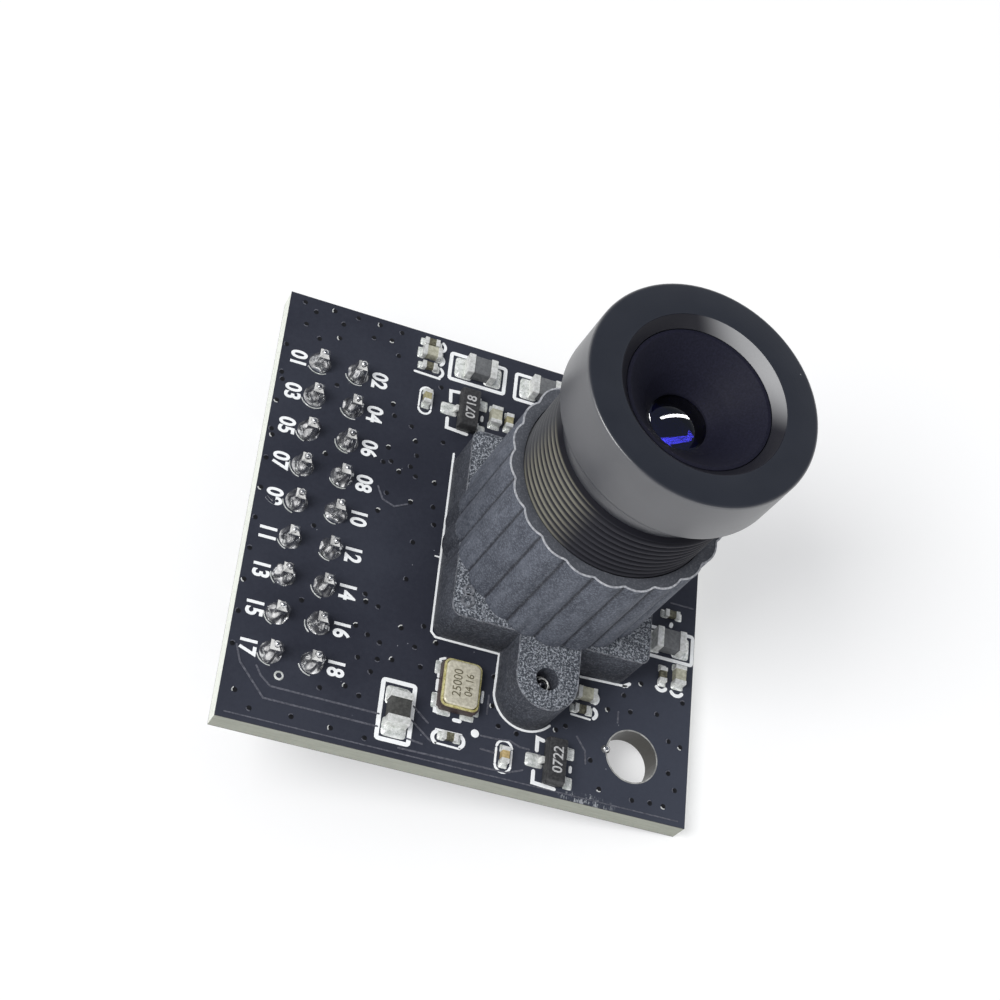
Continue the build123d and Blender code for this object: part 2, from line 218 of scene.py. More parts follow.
def mound(length, width, height, blunt=0.45, steps=20, rings=5):
    """A low rounded heap: x and y follow cos and sin to a power, and z = height (1 - p^3)."""
    a = np.arange(steps) * TURN / steps
    p = np.linspace(0, 1, rings + 1)[:, None]
    x = np.sign(np.cos(a)) * np.abs(np.cos(a)) ** blunt * length / 2 * p
    y = np.sign(np.sin(a)) * np.abs(np.sin(a)) ** blunt * width / 2 * p
    z = np.repeat(height * (1 - p**3), steps, 1)
    points = np.stack([x, y, z], -1).reshape(-1, 3)
    rim = np.arange(rings * steps, (rings + 1) * steps)[None]
    return points, [grid_faces(rings + 1, steps), rim]


def arc(x, y, radius, start, end, steps=16):
    """Points on a circle between two angles in degrees."""
    a = np.radians(np.linspace(start, end, steps))
    return np.stack([x + radius * np.cos(a), y + radius * np.sin(a)], 1)


def rectangle(x0, y0, x1, y1, corner, steps=5):
    """A rectangle between two places, with its corners drawn as arcs of one radius."""
    return rounded([(x, y, corner) for x, y in ((x0, y0), (x1, y0), (x1, y1), (x0, y1))], steps)


# %% [markdown]
# ## From arrays to a piece
# A piece is a mesh with a finish that rides on a CAD body. Doubled points are merged and the faces
# turned outwards before it is shaded, and edges sharper than a set angle stay crisp.

# %% Make a piece
def close_up(mesh, dissolve=False):
    """Merge doubled points, drop flattened faces and turn the rest outwards."""
    work = bmesh.new()
    work.from_mesh(mesh)
    bmesh.ops.remove_doubles(work, verts=work.verts, dist=1e-7)
    bmesh.ops.dissolve_degenerate(work, edges=work.edges, dist=1e-8)
    if dissolve:
        bmesh.ops.dissolve_limit(
            work, angle_limit=math.radians(0.5), verts=work.verts, edges=work.edges
        )
    bmesh.ops.recalc_face_normals(work, faces=work.faces)
    work.to_mesh(mesh)
    work.free()


def linked(name, data):
    """A new object in the scene."""
    made = bpy.data.objects.new(name, data)
    bpy.context.scene.collection.objects.link(made)
    return made


def dress(mesh, name, body, finishes, replaces=(), crease=40):
    """Link a finished mesh as a piece that rides on a body and stands for some CAD nodes."""
    mesh.polygons.foreach_set("use_smooth", np.ones(len(mesh.polygons), bool))
    if crease:
        mesh.set_sharp_from_angle(angle=math.radians(crease))
    for finish in finishes:
        mesh.materials.append(finish)
    piece = linked(name, mesh)
    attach(piece, body)
    if replaces:
        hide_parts(*replaces)
    return piece


def make_piece(name, shape, finish, body="module", replaces=(), crease=40):
    """A piece from a shape, or from a list of shapes, in millimetres."""
    points, faces = joined(shape) if isinstance(shape, list) else shape
    mesh = bpy.data.meshes.new(name)
    mesh.from_pydata((points * MM).tolist(), [], [f for part in faces for f in part.tolist()])
    close_up(mesh)
    piece = dress(mesh, name, body, [finish], replaces, crease)
    print(name, "faces", len(mesh.polygons))
    return piece


def pulled(items, field, kind=float):
    """A field of three numbers from every vertex or face of a mesh, as rows of an array."""
    values = np.empty(len(items) * 3, kind)
    items.foreach_get(field, values)
    return values.reshape(-1, 3)


def softened(node, width, finishes, ends=None, angle=35, steps=2):
    """A merged copy of a CAD node with its edges rounded, which stands for the node.

    ends = (axis, share) gives the faces of the outer share at both ends the second finish.
    """
    mesh = nodes[node].data.copy()
    mesh.name = node + "_rounded"
    mesh.materials.clear()
    close_up(mesh, dissolve=True)
    piece = dress(mesh, node + "_rounded", body_of[node], finishes, [node], crease=0)
    if ends:
        axis, cap = ends
        low, high = (corner[axis] for corner in box_mm(node))
        middles = pulled(mesh.polygons, "center")[:, axis] / MM
        far = np.abs(middles - (low + high) / 2) > (high - low) / 2 - cap
        mesh.polygons.foreach_set("material_index", far.astype(np.int32))
    bevel = piece.modifiers.new("edges", "BEVEL")
    bevel.width = width * MM
    bevel.segments = steps
    bevel.limit_method = "ANGLE"
    bevel.angle_limit = math.radians(angle)
    bevel.harden_normals = True
    return piece


# %% [markdown]
# ## Shader maths as expressions
# A Value stands for a socket that varies over the surface. Adding, multiplying or comparing Values
# writes the Math nodes, and a Finish is one material with one method that makes any other node.

# %% Values and finishes
def math_method(operation, reflected=False):
    """A method that adds one Math node; a reflected one puts the other number first."""

    def method(self, *other):
        inputs = dict(enumerate((*other, self) if reflected else (self, *other)))
        return self.finish.node("ShaderNodeMath", inputs, operation=operation)

    return method


class Value:
    """A varying number in a finish; arithmetic on it adds Math nodes."""

    def __init__(self, finish, socket):
        self.finish, self.socket = finish, socket

    __add__ = __radd__ = math_method("ADD")
    __mul__ = __rmul__ = math_method("MULTIPLY")
    __sub__, __rsub__ = math_method("SUBTRACT"), math_method("SUBTRACT", reflected=True)
    __truediv__, __pow__ = math_method("DIVIDE"), math_method("POWER")
    __gt__, __lt__ = math_method("GREATER_THAN"), math_method("LESS_THAN")
    __abs__, most = math_method("ABSOLUTE"), math_method("MAXIMUM")

    def rise(self, low, high):
        """0 below low, 1 above high, and a smooth slope between."""
        inputs = {"Value": self, "From Min": low, "From Max": high}
        return self.finish.node("ShaderNodeMapRange", inputs, interpolation_type="SMOOTHSTEP")


class Finish:
    """One material. Constants go on the surface's own sockets; Values are linked."""

    def __init__(self, name, **settings):
        self.material = bpy.data.materials.new(name)
        self.material.use_nodes = True
        self.tree = self.material.node_tree
        self.surface = self.tree.nodes["Principled BSDF"]
        coordinates = self.tree.nodes.new("ShaderNodeTexCoord")
        self.place = self.node(
            "ShaderNodeVectorMath",
            {0: Value(self, coordinates.outputs["Object"]), "Scale": 1 / MM},
            operation="SCALE",
        )
        self.set(**settings)

    def put(self, socket, value):
        """Link a Value to a socket, or set a constant on it."""
        if isinstance(value, Value):
            self.tree.links.new(value.socket, socket)
        elif isinstance(value, tuple) and len(value) == 3 and socket.type == "RGBA":
            socket.default_value = (*value, 1)
        else:
            socket.default_value = value

    def node(self, kind, inputs, output=0, **settings):
        """Any node: its settings first, then its sockets' values or links; gives one output."""
        made = self.tree.nodes.new(kind)
        for key, value in settings.items():
            setattr(made, key, value)
        for key, value in inputs.items():
            self.put(made.inputs[key], value)
        return Value(self, made.outputs[output])

    def set(self, **sockets):
        """Set the surface's sockets, with base_color for Base Color and so on."""
        for key, value in sockets.items():
            name = key.replace("_", " ").title().replace("Ior", "IOR")
            self.put(self.surface.inputs[name], value)

    def axes(self):
        """x, y and z in millimetres."""
        return [self.node("ShaderNodeSeparateXYZ", {0: self.place}, output=k) for k in range(3)]

    def noise(self, scale, detail=2.0, roughness=0.5, stretch=(1, 1, 1), shift=(0, 0, 0)):
        """Cloudy noise with so many blots per millimetre."""
        place = self.node(
            "ShaderNodeMapping", {"Vector": self.place, "Scale": stretch, "Location": shift}
        )
        inputs = {"Vector": place, "Scale": scale, "Detail": detail, "Roughness": roughness}
        return self.node("ShaderNodeTexNoise", inputs)

    def cells(self, scale, **settings):
        """Distance to the middle of the nearest cell of a random honeycomb."""
        return self.node("ShaderNodeTexVoronoi", {"Vector": self.place, "Scale": scale}, **settings)

    def blend(self, mask, first, second):
        """Colour first where the mask is 0 and second where it is 1."""
        inputs = {0: mask, 6: first, 7: second}
        return self.node("ShaderNodeMix", inputs, output=2, data_type="RGBA")

    def relief(self, height, depth, strength=1.0):
        """Bumps of a height from 0 to 1, so many millimetres deep."""
        inputs = {"Height": height, "Distance": depth * MM, "Strength": strength}
        self.set(normal=self.node("ShaderNodeBump", inputs))


# %% [markdown]
# ## Finishes of the board
# Solder mask is a thin glossy lacquer over copper and glass cloth. It has a faint orange peel and is
# painted lighter towards one corner as a painted sheen, and one edge is scuffed. The cloth below
# shows only at the cut edges, where the layers run as fine lines; the walls facing x are painted much
# lighter than those facing y, as painted light and painted shade of one cloth.

# %% Mask, print, laminate and metals
def board_finish():
    """Lacquer on the faces, cut glass cloth on the sides, and a bare bore in each hole."""
    f = Finish("board_mask", specular_ior_level=0.32)
    x, y, z = f.axes()
    side = (abs(x) > EDGE_X - 0.004).most(abs(y) > EDGE_Y - 0.004)
    layers = f.noise(1.0, 3, stretch=(0.6, 0.6, 9.0))
    fibres = f.noise(5.0, 3, stretch=(1, 1, 3.0))
    strands = layers * 0.7 + fibres * 0.4 - 0.1
    # The walls facing x get a much lighter cloth than the walls facing y: painted light and painted
    # shade.
    lit_end_cloth = f.blend(strands, (0.66, 0.68, 0.60), (0.92, 0.94, 0.87))
    cloth = f.blend(strands, (0.22, 0.23, 0.19), (0.47, 0.48, 0.41))
    cloth = f.blend(abs(x) > EDGE_X - 0.004, cloth, lit_end_cloth)
    rim = (z > TOP - 0.06).most(z < board_low[2] + 0.05)
    cloth = f.blend(rim, cloth, (0.05, 0.05, 0.05))
    cloud = f.noise(0.12, 2) * 0.7 + f.noise(4.0, 4, 0.7) * 0.3
    lacquer = f.blend(cloud.rise(0.3, 0.7), (0.026, 0.028, 0.041), (0.042, 0.046, 0.063))
    # Painted sheen: the lacquer is painted lighter towards one corner.
    painted_sheen = ((x - y) / (2 * EDGE_X)).rise(0.1, 1.0)
    lacquer = f.blend(painted_sheen * 0.5, lacquer, (0.065, 0.074, 0.100))
    speck = (f.cells(1.1) < 0.04) * (f.noise(0.35, 1) > 0.48)
    lacquer = f.blend(speck * 0.6, lacquer, (0.40, 0.41, 0.46))
    scuff_x = (x - 8.2) / 2.2
    scuff_y = (y + EDGE_Y - 0.25) / 0.5
    wear_and_painted_light = (1 - scuff_x * scuff_x - scuff_y * scuff_y).rise(0.0, 0.9)
    wear_and_painted_light = wear_and_painted_light * f.noise(2.6, 5, 0.7, stretch=(2.2, 0.8, 1)).rise(0.52, 0.60)
    lacquer = f.blend(wear_and_painted_light * 0.8, lacquer, (0.42, 0.44, 0.46))
    hole_x, hole_y = x - (EDGE_X - hole_inset), abs(y) - (EDGE_Y - hole_inset)
    in_hole = hole_x * hole_x + hole_y * hole_y < (hole_radius + 0.01) ** 2
    bore = in_hole * (z < TOP - 0.02)
    lacquer = f.blend(bore, lacquer, (0.070, 0.067, 0.060))
    f.set(base_color=f.blend(side, lacquer, cloth))
    f.set(roughness=0.30 + 0.10 * f.noise(0.5, 3) + side * 0.35)
    f.relief(f.noise(1.6, 2) * 0.7 + f.noise(9.0, 2) * 0.3, 0.012)
    return f.material


def ink_finish():
    """Screen-printed white, a little patchy."""
    f = Finish("white_ink", specular_ior_level=0.3)
    patchy = f.noise(6.0, 3)
    f.set(base_color=f.blend(patchy.rise(0.3, 0.6), (0.92, 0.94, 0.95), (0.98, 0.99, 0.99)))
    f.set(roughness=0.5 + patchy * 0.2)
    f.relief(patchy, 0.01)
    return f.material


def mottled(f, dark, light, depth, grain, roughness):
    """Blots of two colours that also stand in relief."""
    blots = f.noise(grain, 4, 0.6)
    f.set(base_color=f.blend(blots.rise(0.3, 0.7), dark, light), roughness=roughness)
    f.relief(blots, depth)
    return f.material


def metal_finish(name, dark, light, rough, depth, grain=3.0, metallic=1.0):
    """Bare metal whose colour, gloss and surface wander slightly."""
    f = Finish(name, metallic=metallic)
    roughness = rough + 0.16 * f.noise(grain * 1.7, 2, shift=(7, 3, 1))
    return mottled(f, dark, light, depth, grain, roughness)


def matt_finish(name, dark, light, rough, depth, grain=6.0, specular=0.5):
    """Ceramic, glass-cloth or moulded matter with a fine mottled grain."""
    f = Finish(name, specular_ior_level=specular)
    roughness = rough + 0.12 * f.noise(grain * 0.5, 2, shift=(3, 1, 8))
    return mottled(f, dark, light, depth, grain, roughness)


MASK = board_finish()
INK = ink_finish()
PAD = metal_finish("tinned_pad", (0.56, 0.59, 0.55), (0.98, 0.99, 0.97), 0.20, 0.06, 3.4, 0.3)
SOLDER = metal_finish("solder", (0.26, 0.26, 0.27), (0.90, 0.90, 0.90), 0.07, 0.03, 1.7, 0.92)
PIN = metal_finish("tinned_pin", (0.68, 0.68, 0.67), (0.84, 0.84, 0.83), 0.16, 0.003, 1.6)
CAP = metal_finish("chip_end", (0.68, 0.69, 0.65), (0.98, 0.98, 0.96), 0.24, 0.02, 5.0, 0.3)
COPPER = matt_finish("copper_under_mask", (0.065, 0.067, 0.085), (0.15, 0.153, 0.18), 0.30, 0.01)
# Near-black for the vias: painted shade of their holes.
HOLE_SHADE = matt_finish("via_hole", (0.001, 0.001, 0.002), (0.004, 0.004, 0.006), 0.5, 0.01)
print("board finishes ready")


# %% [markdown]
# ## Finishes of the holder and the lens
# The holder is a glass-filled black moulding: its flat tops have a coarse spark-eroded texture with
# painted glints, its walls are smoother with faint flow marks, its flute valleys get painted shade,
# and its rim's top is painted lighter as painted light. The barrel is black anodised metal with
# hair-fine turning lines, which follow the radius on flat faces and the height on round ones; its
# head's side and its neck are painted greyer as painted light. Its thread and its mouth are matt,
# each with a painted highlight on one side, and the thread's roots get painted shade.

# %% Plastic, anodised metal and glass
def round_lens(f):
    """x and y from the lens's axis, the distance from the axis, and z."""
    x, y, z = f.axes()
    across = x - LENS_X
    return across, y, (across * across + y * y) ** 0.5, z


def holder_finish():
    """Dark matt walls with painted shade in the flute valleys, painted glints mostly on the flats of
    the base, the ears and the tube's rim, and the rim's top painted lighter as painted light.
    """
    f = Finish("holder_plastic", specular_ior_level=0.42)
    radius, z = round_lens(f)[2:]
    flat = (abs(z - base_top) < 0.012).most(abs(z - ear_top) < 0.012)
    lit_rim_top = z > holder_top - 0.015
    tube = z > base_top + 0.02
    grit = f.noise(8.0, 5, 0.72)
    worms = f.cells(4.2, feature="DISTANCE_TO_EDGE")
    flow = f.noise(1.1, 5, 0.68, stretch=(1, 1, 0.45))
    tone = (flow * 0.5 + grit * 0.5).rise(0.32, 0.68)
    wall = f.blend(tone, (0.019, 0.021, 0.029), (0.062, 0.068, 0.086))
    fluted = f.blend(tone, (0.036, 0.041, 0.056), (0.116, 0.127, 0.156))
    # Painted shade darkens the flute valleys.
    valley_shade = 1 - radius.rise(flute_valley + 0.01, flute_valley + 0.08)
    fluted = f.blend(valley_shade * 0.8, fluted, (0.016, 0.017, 0.023))
    plastic = f.blend(tube, wall, fluted)
    plastic = f.blend(flat, plastic, (0.046, 0.053, 0.067))
    # The rim's top face is painted lighter: painted light.
    plastic = f.blend(lit_rim_top, plastic, (0.075, 0.080, 0.095))
    # Light flecks and worm-like threads on the grit, mostly on the flats: painted glints on the
    # texture.
    painted_sparkle = grit.rise(0.50, 0.61) * (0.12 + flat * 0.88)
    threads = (1 - worms.rise(0.01, 0.06)) * flat * grit.rise(0.40, 0.54)
    plastic = f.blend(painted_sparkle.most(threads) * 0.8, plastic, (0.54, 0.57, 0.62))
    f.set(base_color=plastic)
    f.set(roughness=0.60 - 0.20 * flat + 0.15 * f.noise(3.0, 2))
    f.relief(grit * (0.22 + flat * 0.9) + flow * 0.5, 0.07)
    return f.material


def anodised_finish():
    """Dyed black under a hard clear skin, with the head's side and the neck painted greyer as painted
    light.
    """
    f = Finish("anodised_barrel", ior=2.0)
    radius, z = round_lens(f)[2:]
    rings = f.node("ShaderNodeCombineXYZ", {0: radius, 2: z})
    lines = f.node("ShaderNodeTexNoise", {"Vector": rings, "Scale": 14.0, "Detail": 3.0})
    cloud = f.noise(0.5, 3)
    side = radius.rise(head_radius - 0.22, head_radius - 0.04)
    neck = (z < head_back - 0.05) * (z > neck_back + 0.05)
    black = f.blend(cloud, (0.008, 0.010, 0.017), (0.014, 0.017, 0.026))
    # The head's side and the neck get a greyer colour than the face: painted light.
    wear_and_painted_light = f.blend(cloud, (0.028, 0.029, 0.036), (0.054, 0.056, 0.064))
    colour = f.blend(side.most(neck), black, wear_and_painted_light)
    dust = (f.cells(0.55) < 0.028) * (1 - side)
    f.set(base_color=f.blend(dust, colour, (0.7, 0.7, 0.7)))
    f.set(roughness=0.26 + 0.10 * lines + 0.05 * cloud)
    f.relief(lines * 0.5 + f.noise(14.0, 2) * 0.5, 0.006)
    return f.material


def thread_finish():
    """Matt dyed thread with painted shade in its roots, a warm painted highlight on the crests of one
    side, and painted light greying another side.
    """
    f = Finish("matt_thread", specular_ior_level=0.2)
    across, y, radius = round_lens(f)[:3]
    crest = radius.rise(thread_radius - 0.13, thread_radius - 0.01)
    cloud = f.noise(0.9, 3)
    # A warm painted highlight on the crests of one side.
    warm_highlight = ((across * -0.87 + y * -0.49) / thread_radius).rise(0.83, 1.0)
    lit_grey_side = ((across * -0.88 + y * 0.47) / thread_radius).rise(0.72, 0.97)
    # Roots darker than crests: painted shade; both are painted lighter on another side: painted
    # light.
    root_shade = f.blend(lit_grey_side, (0.010, 0.010, 0.015), (0.075, 0.077, 0.082))
    top = f.blend(lit_grey_side, (0.026, 0.026, 0.033), (0.078, 0.080, 0.085))
    top = f.blend(warm_highlight * (0.55 + 0.4 * cloud), top, (0.24, 0.23, 0.18))
    f.set(base_color=f.blend(crest, root_shade, top))
    f.set(roughness=0.48 + 0.1 * cloud)
    f.relief(f.noise(14.0, 2), 0.006)
    return f.material


def mouth_finish():
    """Matt dyed chamfer of the lens's mouth, with a bright painted highlight on one side."""
    f = Finish("matt_mouth", specular_ior_level=0.2)
    across, y = round_lens(f)[:2]
    cloud = f.noise(0.9, 3)
    mouth_radius = 4.6
    # A bright patch on one side of the chamfer: a painted highlight.
    mouth_highlight = ((across * 0.72 + y * 0.69) / mouth_radius).rise(0.58, 1.0)
    f.set(base_color=f.blend(mouth_highlight, (0.014, 0.014, 0.020), (0.34, 0.34, 0.345)))
    f.set(roughness=0.34 + 0.1 * cloud)
    f.relief(f.noise(14.0, 2), 0.004)
    return f.material


def glass_finish(name, tint, body=(0.56, 0.56, 0.62)):
    """Coated glass: tint colours what its coating lets through, and body what the glass does."""
    f = Finish(name, transmission_weight=1.0, ior=1.62, coat_weight=0.6, coat_tint=tint)
    f.set(coat_roughness=0.02, coat_ior=1.9)
    haze = f.noise(1.5, 3)
    f.set(base_color=f.blend(haze * 0.02, body, (1.0, 1.0, 1.0)))
    f.set(roughness=0.02 + 0.02 * haze.rise(0.5, 0.8))
    return f.material


HOLDER = holder_finish()
BARREL = anodised_finish()
THREAD = thread_finish()
MOUTH = mouth_finish()
RING = matt_finish(
    "blackened_ring", (0.008, 0.008, 0.018), (0.013, 0.013, 0.028), 0.6, 0.01, 9.0, specular=0.2
)
FRONT_GLASS = glass_finish("front_glass", (0.95, 0.95, 1.0), (0.02, 0.018, 0.42))
INNER_GLASS = glass_finish("inner_glass", (0.06, 0.05, 1.0))
print("holder and lens finishes ready")


# %% [markdown]
# ## Finishes of the small parts
# Each kind of part gets its own matter: tan, olive and amber ceramics for capacitors, dark film for
# resistors, grey ferrite, black epoxy for the regulators, and gilt for the oscillator's lid. CAD
# nodes that keep their own shape, such as the pins and the inner lenses, are painted here.

# %% Small matter
TAN = matt_finish("tan_ceramic", (0.30, 0.27, 0.14), (0.46, 0.42, 0.25), 0.38, 0.02)
OLIVE = matt_finish("olive_ceramic", (0.36, 0.35, 0.26), (0.56, 0.55, 0.44), 0.36, 0.02)
AMBER = matt_finish("amber_ceramic", (0.40, 0.29, 0.12), (0.58, 0.44, 0.22), 0.36, 0.02)
FILM = matt_finish("resistor_film", (0.05, 0.048, 0.03), (0.20, 0.19, 0.13), 0.30, 0.02)
FERRITE = matt_finish("ferrite", (0.12, 0.125, 0.13), (0.18, 0.185, 0.19), 0.45, 0.02)
DARK_FERRITE = matt_finish("dark_ferrite", (0.045, 0.045, 0.042), (0.085, 0.085, 0.08), 0.45, 0.02)
EPOXY = matt_finish("black_epoxy", (0.022, 0.022, 0.024), (0.050, 0.050, 0.052), 0.48, 0.03)
MARK = matt_finish("laser_mark", (0.34, 0.34, 0.34), (0.62, 0.62, 0.62), 0.6, 0.01)
UMBER = matt_finish("umber_ceramic", (0.045, 0.030, 0.030), (0.09, 0.06, 0.055), 0.45, 0.02)
GILT = metal_finish("gilt_lid", (0.58, 0.54, 0.42), (0.80, 0.76, 0.62), 0.36, 0.006, 6.0, 0.3)
PLASTIC = matt_finish("header_plastic", (0.012, 0.012, 0.013), (0.03, 0.03, 0.032), 0.42, 0.03)
STEEL = metal_finish("screw_steel", (0.05, 0.05, 0.055), (0.14, 0.14, 0.15), 0.22, 0.01)
ALUMINA = matt_finish("white_ceramic", (0.62, 0.60, 0.55), (0.78, 0.76, 0.72), 0.5, 0.01)
SILICON = metal_finish("silicon", (0.10, 0.12, 0.16), (0.22, 0.20, 0.30), 0.12, 0.002, 3.0, 0.9)
BLACKENED = matt_finish("blackened_metal", (0.006, 0.006, 0.007), (0.02, 0.02, 0.022), 0.5, 0.01)
FILTER = glass_finish("filter_glass", (0.4, 0.8, 1.0))
cad_finishes = {
    "board_mask": MASK,
    "header_plastic": PLASTIC,
    "tinned_pins": PIN,
    "solder": CAP,
    "screw_steel": STEEL,
    "white_ceramic": ALUMINA,
    "silicon": SILICON,
    "clear_glass": FILTER,
    "filter_glass": FILTER,
    "lens_glass": INNER_GLASS,
    "spacer_metal": BLACKENED,
}


def paint(piece, finish):
    """Give a CAD node's object one finish."""
    piece.data.materials.clear()
    piece.data.materials.append(finish)


for node, piece in nodes.items():
    if slot_of[node] in cad_finishes:
        paint(piece, cad_finishes[slot_of[node]])
print("CAD nodes that keep their shape are painted")


# %% [markdown]
# ## Tracks and vias
# Copper tracks raise the mask by a few hundredths of a millimetre. They are real low shapes,
# because only a real slope catches a thin line of light. A via is a near-black flat plug of a few
# dozen faces, repeated: painted shade of its hole. Beside it, a short arc of its rim in a lighter
# finish is a painted glint; one arc in three is bright, and the others are dim, in the colour of the
# copper under the mask.

# %% Tracks and vias on the board
track_width, track_height = 0.12, 0.03
tracks = [
    [(-14.25, -10.2), (-13.9, -11.2), (-12.2, -13.08), (-5.25, -13.1)],
    [(-12.9, -11.2), (-12.55, -11.75), (-11.9, -12.26), (-5.25, -12.3)],
    [(-3.2, -11.3), (-2.2, -12.1)],
    [(-3.2, -12.2), (-1.9, -13.2)],
    [(-3.4, -13.4), (-2.4, -13.5)],
    [(-3.8, -14.1), (3.0, -14.0), (4.0, -13.6)],
    [(1.18, -12.07), (2.2, -12.05), (3.0, -11.95), (3.7, -12.19), (4.3, -12.2)],
    [(1.25, -12.9), (2.1, -12.95)],
    [(1.4, -9.4), (1.4, -10.6)],
    [(7.3, -10.6), (7.9, -11.4), (8.0, -12.2)],
    [(9.9, -8.3), (9.9, -9.0)],
    [(13.0, 0.15), (EDGE_X - 0.25, 0.15)],
    [(-7.3, 2.6), (-6.9, 1.8), (-6.1, 1.5), (-5.3, 1.9)],
]
frame_y = -EDGE_Y + 0.37
frame_line = [(-EDGE_X + 0.5, frame_y), (EDGE_X - 0.5, frame_y)]
raised = [stroke(path, track_width, track_height) for path in tracks]
raised.append(stroke(frame_line, 0.08, 0.02))
make_piece("copper_tracks", moved(joined(raised), z=TOP - 0.002), COPPER)

via_places = [
    (-7.1, 0.9), (-3.6, 2.2), (-3.4, 1.0), (-5.1, 2.1), (-4.6, -0.6), (-7.1, -4.9), (-7.0, -5.4),
    (-4.7, -3.2), (-6.2, -5.5), (-7.4, -7.1), (-6.6, -7.5), (-5.8, -7.8), (-4.6, -6.5),
    (-3.2, -6.0), (-3.6, -7.5), (-2.3, -6.9), (-7.0, -9.1), (-5.8, -8.9), (-4.9, -8.7),
    (-6.1, -9.8), (-3.1, -8.7), (-7.5, -11.1), (-9.0, -11.6), (-6.6, -11.5), (-13.9, -13.0),
    (-12.9, -13.9), (-10.4, -13.8), (-8.0, -13.9), (-5.9, -14.0), (1.6, -8.1), (1.7, -10.0),
    (2.2, -11.2), (3.4, -11.4), (5.9, -10.5), (6.5, -10.1), (10.2, -7.1), (9.2, -8.3),
    (10.7, -8.1), (12.5, -7.8), (11.3, -6.0), (14.2, -6.6), (13.4, -9.4), (14.2, -9.6),
    (13.5, -11.5), (14.0, -12.5), (13.3, -13.7), (12.4, -13.7), (11.2, -13.8), (9.0, -13.6),
    (8.3, -11.9), (-7.2, 14.2), (-7.8, 13.4), (-7.2, 12.4), (-4.1, 11.0), (-7.1, 8.7),
    (-6.9, 7.9), (-5.7, 7.5), (-7.0, 5.5), (-7.2, 4.4), (-6.7, 4.6), (-6.1, 4.0), (-5.4, 4.6),
    (-5.0, 4.0), (-3.7, 3.9), (-5.1, 5.5), (-3.5, 7.0), (-5.3, 6.5), (-6.7, 2.3), (-10.9, 8.9),
    (-10.9, 3.8), (-10.9, -1.3), (-10.9, -6.4), (11.5, 7.5), (13.2, 5.2), (12.2, 3.4), (9.1, 8.9),
    (-13.8, 14.3), (-13.0, 13.8), (-11.8, 14.3), (-10.2, 14.3), (-11.1, 13.5), (-8.7, 14.3),
    (-13.5, 12.7), (-12.5, 11.9), (-11.2, 12.4), (-9.0, 13.2), (-14.4, 8.2), (-14.4, 4.1),
]
left_rail = [(-EDGE_X + 0.28, y) for y in np.arange(-10.2, 12.5, 2.1)]
spots = np.array([(x, y, TOP) for x, y in via_places + left_rail])
plug = mound(0.32, 0.32, 0.012, blunt=1.0, rings=2)
make_piece("via_holes", repeated(plug, spots), HOLE_SHADE)
# The arcs beside the holes are painted glints: bright on one in three and dim on the rest.
bright_glints, dim_glints = [], []
for k, (x, y, z) in enumerate(spots):
    start = 40 + 67 * k % 190  # so that no two neighbours catch the light alike
    glint_arc = stroke(arc(x, y, 0.17, start, start + 85, 6), 0.06, 0.04, z=z)
    (bright_glints if k % 3 == 0 else dim_glints).append(glint_arc)
make_piece("via_glints", bright_glints, CAP)
make_piece("via_crescents", dim_glints, COPPER)

# %% A bare via and the rims of the mounting holes
bare_via = turned([(0.17, 0.0), (0.19, 0.05), (0.26, 0.05), (0.30, 0.0)], steps=20)
make_piece("bare_via_rim", moved(bare_via, -11.5, -11.48, TOP - 0.001), PAD)
drop = mound(0.62, 0.56, 0.24, blunt=1.0)
drop_x, drop_y = EDGE_X - hole_inset - 1.76, -EDGE_Y + hole_inset + 0.07
make_piece("hole_solder_drop", moved(drop, drop_x, drop_y, TOP - 0.002), SOLDER)
RIM = matt_finish("bare_rim", (0.20, 0.20, 0.19), (0.46, 0.46, 0.44), 0.4, 0.01, 2.0)
rim_profile = [(0.0, 0.0), (0.01, 0.015), (0.06, 0.015), (0.09, 0.0)]
hole_rim = turned(np.array(rim_profile) + (hole_radius, 0), 64)
hole_y = EDGE_Y - hole_inset
hole_rims = [moved(hole_rim, EDGE_X - hole_inset, y, TOP) for y in (-hole_y, hole_y)]
make_piece("mounting_hole_rims", hole_rims, RIM)


# %% [markdown]
# ## The white print
# The outlines round the parts are screen-printed ink: rounded strokes a few hundredths thick. The
# big outline follows the holder and swings round its ear.

# %% Printed outlines
ink_height = 0.02
holder_line = np.vstack(
    [
        [(LENS_X - 6.5, 6.4), (LENS_X - 6.5, -6.2), (LENS_X - 6.2, -6.5), (1.78, -6.52)],
        arc(LENS_X + 0.06, ear_y + 0.1, 2.17, 186, 318, 24),
    ]
)


def outline(x0, y0, x1, y1, width):
    """A rectangular printed frame between two corners."""
    return stroke(rectangle(x0, y0, x1, y1, 0.16, 3), width, ink_height, closed=True)


def bow(x, y, middle, radius=0.36, width=0.2, reach=58):
    """A short printed bow that looks along an angle in degrees."""
    return stroke(arc(x, y, radius, middle - reach, middle + reach, 9), width, ink_height)


